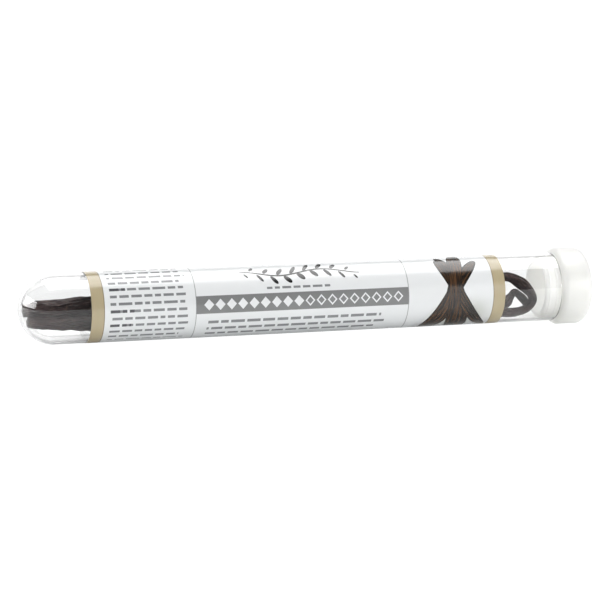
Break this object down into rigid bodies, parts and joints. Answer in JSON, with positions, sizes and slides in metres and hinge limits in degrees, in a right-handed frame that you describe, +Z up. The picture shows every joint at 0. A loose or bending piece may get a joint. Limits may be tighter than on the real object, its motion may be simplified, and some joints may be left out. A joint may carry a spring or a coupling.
{
  "type": "tube of vanilla pods",
  "caption": "Clear plastic tube with a domed end, lying on its side, that holds whole vanilla pods with hooked stems under a wrap label, shut by a push-in plastic stopper.",
  "frame": {"origin": "on the surface that the tube lies on, below the middle of its length", "axes": "+X along the tube towards the stopper, +Y to its back, +Z up"},
  "size_m": [0.212, 0.028, 0.028],
  "materials": {
    "clear_plastic": "clear injection-moulded polystyrene, polished",
    "label_paper": "gloss-coated white paper with printed fields of tan, grey and brown",
    "milky_plastic": "natural low-density polyethylene, milky and see-through where thin",
    "pod_skin": "cured vanilla pod, oily, lengthwise wrinkles"
  },
  "bodies": {
    "root": {"tube": "clear_plastic", "label": "label_paper", "stopper": "milky_plastic", "pod_upper": "pod_skin", "pod_lower": "pod_skin"}
  },
  "joints": []
}
